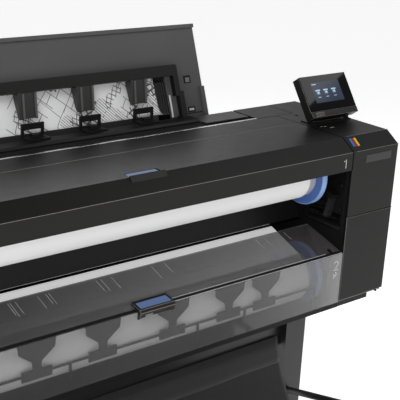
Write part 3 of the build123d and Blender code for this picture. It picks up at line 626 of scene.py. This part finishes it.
def lathe(bm, centre, axis, profile, steps=32):
    """Turned shape: profile is (along the axis, radius)."""
    axis = Vector(axis).normalized()
    side = axis.orthogonal().normalized()
    other = axis.cross(side)
    rings = []
    for along, radius in profile:
        ring = []
        for k in range(steps):
            a = 2 * math.pi * k / steps
            spoke = radius * (side * math.cos(a) + other * math.sin(a))
            ring.append(bm.verts.new(Vector(centre) + axis * along + spoke))
        rings.append(ring)
    for r0, r1 in zip(rings, rings[1:]):
        for k in range(steps):
            bm.faces.new((r0[k], r0[(k + 1) % steps], r1[(k + 1) % steps], r1[k]))
    bm.faces.new(rings[0][::-1])
    bm.faces.new(rings[-1])


def screw_heads(name, places, axis, look, body, radius=3.2):
    """Pan-head screws with a cross recess."""
    bm = bmesh.new()
    r = radius * MM
    profile = [(0, r), (0.35 * r, r), (0.6 * r, 0.86 * r), (0.72 * r, 0.6 * r), (0.74 * r, 0.34 * r),
               (0.45 * r, 0.3 * r), (0.45 * r, 0.02 * r)]
    for place in places:
        lathe(bm, place, axis, profile, 18)
    return from_bmesh(name, bm, look, body)


def ribbon(name, points, normal, width, height, look, body):
    """Flat strip of constant width along points, raised by height."""
    bm = bmesh.new()
    normal = Vector(normal).normalized()
    left, right = [], []
    for i, p in enumerate(points):
        a = points[max(i - 1, 0)]
        b = points[min(i + 1, len(points) - 1)]
        side = (b - a).cross(normal).normalized() * width / 2
        left.append(p + side)
        right.append(p - side)
    for i in range(len(points) - 1):
        add_slab(bm, [left[i], left[i + 1], right[i + 1], right[i]], normal * height)
    bmesh.ops.remove_doubles(bm, verts=bm.verts, dist=1e-7)
    return from_bmesh(name, bm, look, body)


def surface_grid(name, point, columns, rows, look, body, thick=0.0, smooth=True):
    """Sheet from point(u, v) for u and v from 0 to 1."""
    bm = bmesh.new()
    grid = [[bm.verts.new(point(i / columns, j / rows)) for j in range(rows + 1)] for i in range(columns + 1)]
    for i in range(columns):
        for j in range(rows):
            bm.faces.new((grid[i][j], grid[i + 1][j], grid[i + 1][j + 1], grid[i][j + 1]))
    mesh = bpy.data.meshes.new(name)
    bm.to_mesh(mesh)
    bm.free()
    obj = new_piece(name, mesh, look, body, smooth)
    if thick:
        solid = obj.modifiers.new("thickness", "SOLIDIFY")
        solid.thickness = thick
        solid.offset = 0
    return obj


# ---- front and top details ---------------------------------------------------------------
INK_LIFT = Vector((0, -0.0002, 0))          # how far the numerals stand off the surface


def digit_one(name, x, z, h, look, body):
    """Numeral 1 of height h on a front face."""
    stroke = ((-0.30, 0.28), (0.02, 0.5), (0.02, -0.5))
    points = [at(x + u * h, 0, z + v * h) + INK_LIFT for u, v in stroke]
    return ribbon(name, points, (0, -1, 0), 0.10 * h * MM, 0.0002, look, body)


def digit_two(name, x, z, h, look, body):
    """Numeral 2 of height h on a front face."""
    pts = []
    for k in range(13):
        a = math.radians(165 - 20 * k)
        pts.append((x + 0.30 * h * math.cos(a), z + 0.22 * h + 0.28 * h * math.sin(a)))
    pts += [(x + 0.05 * h, z - 0.18 * h), (x - 0.32 * h, z - 0.46 * h), (x + 0.36 * h, z - 0.46 * h)]
    points = [at(px, 0, pz) + INK_LIFT for px, pz in pts]
    return ribbon(name, points, (0, -1, 0), 0.09 * h * MM, 0.0002, look, body)


def slant(x, d, lift=0.0):
    """Point on the slanted band of the covers, lifted off it."""
    z = CREASE_Z + d * math.tan(BAND_SLOPE)
    return at(x, d - lift * math.sin(BAND_SLOPE), z + lift * math.cos(BAND_SLOPE))


def lid_details(looks):
    """Label in the pocket of the grip lip, and the roll's numeral."""
    top = TOP / MM
    up = Vector((0, 0, 1))
    label = [(-34, 39.5), (38, 39.5), (38, 58.5), (-31, 58.5)]
    slab("lid_grip_label", [at(x, d, top - 1.2) for x, d in label], up * 0.0009, looks["blue"], "roll_cover")
    digit_one("lid_numeral", 524, 931.5, 21, looks["mark"], "roll_cover")


def cover_details(looks):
    """Plain badge plate and the three ink-coloured bars of the right end cover."""
    ahead = Vector((0, -1, 0))
    out = Vector((0, -math.sin(BAND_SLOPE), math.cos(BAND_SLOPE)))
    plate = [(590, 924), (675, 924), (675, 942), (590, 942)]
    slab("badge_plate", [at(x, -0.05, z) for x, z in plate], ahead * 0.0005, looks["badge"], "chassis")
    for k, key in enumerate(("cyan", "red", "yellow")):
        x = 559.5 + 7.3 * k
        outline = ((-1.5, 12.5), (4.7, 12.5), (6.7, 32), (0.5, 32))
        bar = [slant(x + dx, d, 0.1) for dx, d in outline]
        slab(f"ink_bar_{key}", bar, out * 0.0003, looks[key], "chassis")


def cover_seams(looks):
    """Near-black strips on the shut lines round the end covers, painted shade of the gaps, and light strips
    along the creases of the covers, painted highlights.
    """
    top = TOP / MM + 0.05
    door_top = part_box("right_ink_door")[1][2] / MM
    lid_rear = (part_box("lid")[1][1] - FRONT) / MM
    plumb, band, level = (0, -1, 0), (0, -0.55, 0.83), (0, 0, 1)
    low_crease, high_crease = (0, -0.9, 0.44), (0, -0.28, 0.96)

    def line(name, points, normal, width, key, body="chassis"):
        ribbon(name, points, normal, width * MM, 0.0001, looks[key], body)

    for name, side in (("right", 1), ("left", -1)):
        x = side * 547.0
        # Near-black strips on the shut lines: painted shade of the gaps.
        line(f"seam_front_{name}", [at(x, -0.05, 913), at(x, -0.05, CREASE_Z)], plumb, 2.0, "gap_shade")
        line(f"seam_slant_{name}", [slant(x, 0, 0.05), slant(x, BAND_D, 0.05)], band, 2.0, "gap_shade")
        line(f"seam_top_{name}", [at(x, d, top) for d in (BAND_D, lid_rear, 147.5)], level, 2.0, "gap_shade")
        across = [at(side * u, -0.05, door_top + 1.2) for u in (547.5, 698.5)]
        line(f"seam_door_{name}", across, plumb, 1.6, "gap_shade")
        ends = [side * 557, side * 698]
        # Light strips along the creases: painted highlight.
        line(f"cover_highlight_crease_low_{name}", [slant(u, 0, 0.12) for u in ends], low_crease, 0.8, "crease")
        line(f"cover_highlight_crease_high_{name}", [slant(u, BAND_D, 0.12) for u in ends], high_crease, 1.2, "crease")
    line("lid_highlight_crease", [slant(u, 0, 0.12) for u in (-544, 544)], low_crease, 1.0, "crease", "roll_cover")


def cover_marks(looks):
    """Small generic marks, and a darker ring-shaped disc on top of the right end cover, painted shade of a
    round hole.
    """
    top = TOP / MM + 0.05
    up = Vector((0, 0, 1)) * 0.2 * MM
    for k, (x, d, w) in enumerate(((566, 128, 9), (578, 126, 7), (583, 112, 13))):
        mark = [(x, d), (x + w, d), (x + w, d + 2), (x, d + 2)]
        slab(f"cover_mark_{k}", [at(px, py, top) for px, py in mark], up, looks["mark"], "chassis")
    # Darker disc where the cover has a round hole: painted shade.
    bm = bmesh.new()
    profile = [(0, 5 * MM), (0.5 * MM, 5 * MM), (0.5 * MM, 3.6 * MM), (0.1 * MM, 3.2 * MM)]
    lathe(bm, at(594, 238, top), (0, 0, 1), profile)
    from_bmesh("cover_hole_shade", bm, looks["frame"], "chassis")


def screen_point(u, v, n=0.0):
    """Point on the control panel's glass: u across and v up it in millimetres, n out of it."""
    low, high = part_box("panel_glass")
    thick = 2.0 * MM
    height = (high[2] - low[2] - thick * math.sin(GLASS_TILT)) / math.cos(GLASS_TILT)
    foot = Vector((low[0] - 0.4 * MM, low[1], high[2] - height * math.cos(GLASS_TILT)))
    up = Vector((0, math.sin(GLASS_TILT), math.cos(GLASS_TILT)))
    out = Vector((0, -math.cos(GLASS_TILT), math.sin(GLASS_TILT)))
    return foot + Vector((u * MM, 0, 0)) + up * v * MM + out * n * MM


def panel_details(looks):
    """Lit screen with plain tiles in place of its pictures and words."""
    out = Vector((0, -math.cos(GLASS_TILT), math.sin(GLASS_TILT)))

    def tile(name, u0, u1, v0, v1, n, key):
        corners = [screen_point(u, v, n) for u, v in ((u0, v0), (u1, v0), (u1, v1), (u0, v1))]
        return slab(name, corners, out * 0.00008, looks[key], "control_panel")

    tile("screen_field", 28, 121, 19, 70.5, 0.02, "screen")
    tile("screen_status", 31, 45, 64.5, 66.5, 0.12, "icon_light")
    for k in range(3):
        u = 44 + 26 * k
        tile(f"icon_head_{k}", u - 7.5, u + 7.5, 48.5, 51.5, 0.12, "icon_light")
        tile(f"icon_body_{k}", u - 5, u + 5, 40, 47.5, 0.12, "icon")
        tile(f"icon_core_{k}", u - 1.5, u + 3, 42.5, 46, 0.22, "icon_light")
        tile(f"icon_caption_{k}", u - 4.5, u + 4.5, 32, 33.4, 0.12, "icon_light")


# ---- drawer ------------------------------------------------------------------------------
def window_slope():
    """Rise per millimetre of depth of the drawer window's top."""
    return (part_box("drawer_window")[1][2] / MM - WINDOW_Z) / 120.0


def window_top(x, d, lift=0.0):
    """Point on top of the drawer window."""
    return at(x, d, WINDOW_Z + window_slope() * d + lift)


def drawer_details(looks):
    """Tick marks and edge lines of the window, the roll's numeral and icon, and the grip's label."""
    out = Vector((0, -window_slope(), 1)).normalized()
    ticks = ((-259, 76), (-254, 71), (-243, 75), (-195, 74), (-177, 80), (-170, 77), (-60, 79), (-49, 76),
             (-24, 75), (77, 71), (111, 80), (369, 79), (393, 78), (457, 84))
    for k, (x, d) in enumerate(ticks):
        ribbon(f"window_tick_{k}", [window_top(x, 111, 0.1), window_top(x, d, 0.1)], out, 0.7 * MM, 0.0002,
               looks["line"], "drawer")
    band = [(-541, 2.0), (541, 2.0), (541, 9.5), (-541, 9.5)]
    slab("window_band", [window_top(x, d, 0.1) for x, d in band], out * 0.0003, looks["frame"], "drawer")
    ribbon("window_rib", [window_top(52, 10.6, 0.1), window_top(497, 10.6, 0.1)], out, 1.0 * MM, 0.0008,
           looks["line"], "drawer")
    ribbon("window_lip", [window_top(52, 1.2, 0.4), window_top(541, 1.2, 0.4)], out, 1.0 * MM, 0.0006,
           looks["line"], "drawer")
    bracket = [(512, 6), (519, 6), (519, 22), (512, 22)]
    slab("window_catch", [window_top(x, d, 0.4) for x, d in bracket], out * 0.002, looks["frame"], "drawer")
    digit_two("drawer_numeral", 524.5, 684.5, 22, looks["mark"], "drawer")
    for k, (x, z) in enumerate(((518, 662), (524, 666))):
        hook = [at(x, -0.2, z + 3), at(x + 4, -0.2, z - 1), at(x + 2, -0.2, z - 8)]
        ribbon(f"drawer_icon_{k}", hook, (0, -1, 0), 2.2 * MM, 0.0002, looks["mark"], "drawer")
    low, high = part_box("drawer_handle")
    mid = (low[0] + high[0]) / 2 / MM
    label = [(mid - 37, -4), (mid + 37, -4), (mid + 37, 17), (mid - 37, 17)]
    # Light grey tongue under the grip's left end: painted metallic highlight.
    tongue = [(mid - 30, 703.5), (mid - 12, 703.5), (mid - 12, 708.5), (mid - 30, 708.5)]
    slab("drawer_grip_glint", [at(x, -9.5, z) for x, z in tongue], Vector((0, -0.0005, 0)),
         looks["latch"], "drawer")

    def handle_top(x, d):
        z = 720 + (d + 8) * (window_top(0, 24, 5)[2] / MM - 720) / 32
        return at(x, d, z + 0.1)

    slab("drawer_grip_label", [handle_top(x, d) for x, d in label], out * 0.0004, looks["blue"], "drawer")


# ---- stacker -----------------------------------------------------------------------------
def along_path(path, v):
    """Point of a (depth, height) path at share v of its legs, rounded between them."""
    t = v * (len(path) - 1)
    i = min(int(t), len(path) - 2)
    f = t - i
    before = path[max(i - 1, 0)]
    after = path[min(i + 2, len(path) - 1)]
    spot = []
    for k in range(2):
        p, q = path[i][k], path[i + 1][k]
        m0 = (q - before[k]) / 2
        m1 = (after[k] - p) / 2
        spot.append((2 * f**3 - 3 * f**2 + 1) * p + (f**3 - 2 * f**2 + f) * m0
                    + (3 * f**2 - 2 * f**3) * q + (f**3 - f**2) * m1)
    return spot


def stacker_details(looks):
    """Printed sheet, waved where the guides press it, and the parts round it."""
    low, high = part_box("printed_sheet")
    x0, x1 = low[0], high[0]
    path = [(366, 991.6), (376, 993.5), (388.4, 1008.4), (401.4, 1036.2), (416.4, 1070.3), (421.8, 1083.6)]

    def point(u, v):
        x = x0 + (x1 - x0) * u
        d, z = along_path(path, v)
        wave = math.sin(x / MM / FIN_PITCH * 2 * math.pi + 0.9)
        swell = math.sin(math.pi * v) * 2.2
        return at(x / MM, d - wave * swell, z + 0.4 * wave * swell)

    sheet = surface_grid("printed_plan_sheet", point, 120, 36, looks["drawing"], "chassis", 0.0004)
    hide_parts("printed_sheet")
    gate_ribs(looks)
    side_film(looks)
    panel_latches(looks)


LEAN = math.radians(20)
GATE_FOOT = (355.0, 985.0)
PANEL_FOOT = (395.0, 985.0)


def leaning(foot, x, s, n):
    """Point s up a leaning plane from its foot, and n behind it."""
    d = foot[0] + s * math.sin(LEAN) + n * math.cos(LEAN)
    return at(x, d, foot[1] + s * math.cos(LEAN) - n * math.sin(LEAN))


LEAN_OUT = Vector((0, -math.cos(LEAN), math.sin(LEAN)))


def fixed_slab(name, spans, n, thick, look):
    """Thin plate on the stacker panel; spans are x0, x1, s0, s1."""
    x0, x1, s0, s1 = spans
    corners = [leaning(PANEL_FOOT, x, s, n) for x, s in ((x0, s0), (x1, s0), (x1, s1), (x0, s1))]
    return slab(name, corners, LEAN_OUT * thick * MM, look, "chassis")


def gate_ribs(looks):
    """Pale moulded ribs down the front of each fin."""
    for k in range(4):
        x = 11.5 + FIN_PITCH * (k - 1.5)
        for name, x0, x1, sunk in (("left", -13, -8, 2.6), ("right", 16.5, 21.5, 0.1)):
            run = []
            for px, s in ((x0, 43), (x1, 43), (x1, 94), (x0, 94)):
                run.append(leaning(GATE_FOOT, x + px, s, 12 - 13 * (s - 40) / 56 + sunk - 0.2))
            slab(f"fin_rib_{name}_{k}", run, LEAN_OUT * (sunk + 0.4) * MM, looks["rib"], "stacker_gate")


def side_film(looks):
    """Ribbed glossy guide beside the sheet, and the pale strip next to it."""
    def point(u, v):
        x = 290 + 34 * u
        ridge = 1.2 * abs(math.sin(u * math.pi * 5)) ** 0.5
        return leaning(PANEL_FOOT, x, -18 + 104 * v, -2.2 - ridge)

    surface_grid("stacker_side_guide", point, 60, 6, looks["gloss"], "chassis", 0.0006)
    fixed_slab("stacker_side_strip", (328.5, 333, -14, 40), -3.2, 0.8, looks["paper"])


def panel_latches(looks):
    """Latch in each pocket of the stacker panel on a near-black plate that is painted shade of the pocket,
    and the outline of its bracket.
    """
    for name, side in (("right", 1), ("left", -1)):
        x = 10 + side * 383
        inner = x - side * 27
        edge = sorted((inner, inner + side * 2.5))
        foot = sorted((inner, 10 + side * 424))
        # The pocket plate is near-black painted shade over the pocket floor.
        plates = (("pocket", (x - 10.5, x + 10.5, 63.5, 81.5), 1.7, 0.3, "frame"),
                  ("latch", (x - 5, x + 7, 66, 77), 1.3, 1.0, "latch"),
                  ("slot_rim", (x - 12, x + 10, -7, 6), -0.1, 0.5, "frame"),
                  ("slot_tab", (x - 8, x + 6, -3, 2), -0.7, 0.4, "line"),
                  ("bracket_line", (*edge, -8, 44), -0.1, 0.5, "frame"),
                  ("bracket_base", (*foot, -11, -8.5), -0.1, 0.5, "frame"))
        for label, spans, n, thick, key in plates:
            fixed_slab(f"{label}_{name}", spans, n, thick, looks[key])


# ---- inside the roll bays ------------------------------------------------------------------
def bay_details(looks):
    """Near-black strip below the guide wall, painted shade; drive cover, release lever, ribs and bosses on
    the inner side walls.
    """
    # Near-black strip under the guide wall's edge: painted shade.
    lip = [at(-545, 146, 750.6), at(545, 146, 750.6), at(545, 155.5, 750.6), at(-545, 155.5, 750.6)]
    slab("bay_panel_shade_strip", lip, Vector((0, 0, 1.6 * MM)), looks["gap_shade"], "chassis")
    for name, side in (("right", 1), ("left", -1)):
        wall = side * 545.2

        def slab_on_wall(label, outline, thick, key="bay"):
            corners = [at(wall, d, z) for d, z in outline]
            slab(f"{label}_{name}", corners, Vector((-side * thick * MM, 0, 0)), looks[key], "chassis")

        # Top bar in the lighter edge look: painted highlight.
        slab_on_wall("bay_frame_top", ((44, 938), (120, 938), (120, 932), (44, 932)), 3, "edge")
        slab_on_wall("bay_frame_rear", ((120, 938), (126, 938), (126, 862), (120, 862)), 3)
        slab_on_wall("bay_lever", ((36, 842), (46, 846), (60, 792), (50, 788)), 16, "coat")
        slab_on_wall("bay_lever_tip", ((28, 848), (48, 856), (50, 844), (34, 838)), 22, "frame")
        for k in range(3):
            z = 822 - 17 * k
            slab_on_wall(f"bay_rib_{k}", ((64, z), (118, z - 6), (118, z - 9), (64, z - 3)), 5)
        bm = bmesh.new()
        for d, z, r in ((140, 900, 7), (140, 850, 5), (26, 870, 6), (24, 812, 5)):
            steps = ((0, r), (4, r), (5, r - 1), (5, 2.2), (3, 2))
            lathe(bm, at(wall, d, z), (-side, 0, 0), [(a * MM, b * MM) for a, b in steps], 20)
        from_bmesh(f"bay_bosses_{name}", bm, looks["frame"], "chassis")


# ---- back and sides ------------------------------------------------------------------------
def back_details(looks):
    """Screws of the rear cover, socket box and stand."""
    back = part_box("rear_cover")[1][1] + 0.0001
    places = [Vector((x * MM, back, z * MM)) for x in (-520, -260, 0, 260, 520) for z in (588, 940)]
    screw_heads("rear_screws", places, (0, 1, 0), looks["steel"], "chassis", 3.6)
    low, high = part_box("electronics_box")
    inset = 8 * MM
    places = [Vector((x, high[1] + 0.0001, z)) for x in (low[0] + inset, high[0] - inset)
              for z in (low[2] + inset, high[2] - inset)]
    screw_heads("socket_box_screws", places, (0, 1, 0), looks["strip"], "chassis", 3.0)
    for name, side in (("right", 1), ("left", -1)):
        places = [at(side * (513.5 + dx), d, 553.9) for dx in (-20, 20) for d in (200, 300)]
        screw_heads(f"leg_plate_screws_{name}", places, (0, 0, -1), looks["steel"], "chassis", 4.5)


# ---- bin ---------------------------------------------------------------------------------
def bin_details(looks):
    """Woven sling with turned and stitched hems over the front bar and on the cross beam."""
    low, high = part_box("bin_cloth")
    x0, x1 = low[0], high[0]
    d0 = (low[1] - FRONT) / MM + 2
    d1 = (high[1] - FRONT) / MM - 1.5
    z0, z1 = 436, 470           # heights of the front bar and of the cross beam's edge
    depth = 235                 # sag

    def point(u, v):
        x = x0 + (x1 - x0) * u
        sag = (4 * v * (1 - v)) ** 0.75
        d = d0 + (d1 - d0) * v
        z = z0 + (z1 - z0) * v - depth * sag * (0.985 - 0.012 * math.cos(2 * math.pi * u))
        ripple = 1.6 * math.sin(9 * math.pi * u + 2.2 * v) * math.sin(math.pi * v) ** 0.5
        return at(x / MM, d + 0.3 * ripple, z + ripple)

    cloth = surface_grid("bin_sling", point, 90, 70, looks["cloth"], "chassis", 0.0009)
    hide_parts("bin_cloth")

    def hem(v0, v1):
        def part(u, v):
            here = point(u, v0 + (v1 - v0) * v)
            return here + Vector((0, 0, 1.1 * MM))
        return part

    front_hem = surface_grid("bin_hem_front", hem(0.004, 0.045), 90, 3, looks["hem"], "chassis", 0.0008)
    rear_hem = surface_grid("bin_hem_rear", hem(0.955, 0.996), 90, 3, looks["hem"], "chassis", 0.0008)


# ---- build -------------------------------------------------------------------------------
set_camera()
set_light()
make_floor()
looks = build_materials()
dress_nodes(looks)
lid_details(looks)
cover_details(looks)
cover_seams(looks)
cover_marks(looks)
panel_details(looks)
drawer_details(looks)
stacker_details(looks)
bay_details(looks)
back_details(looks)
bin_details(looks)
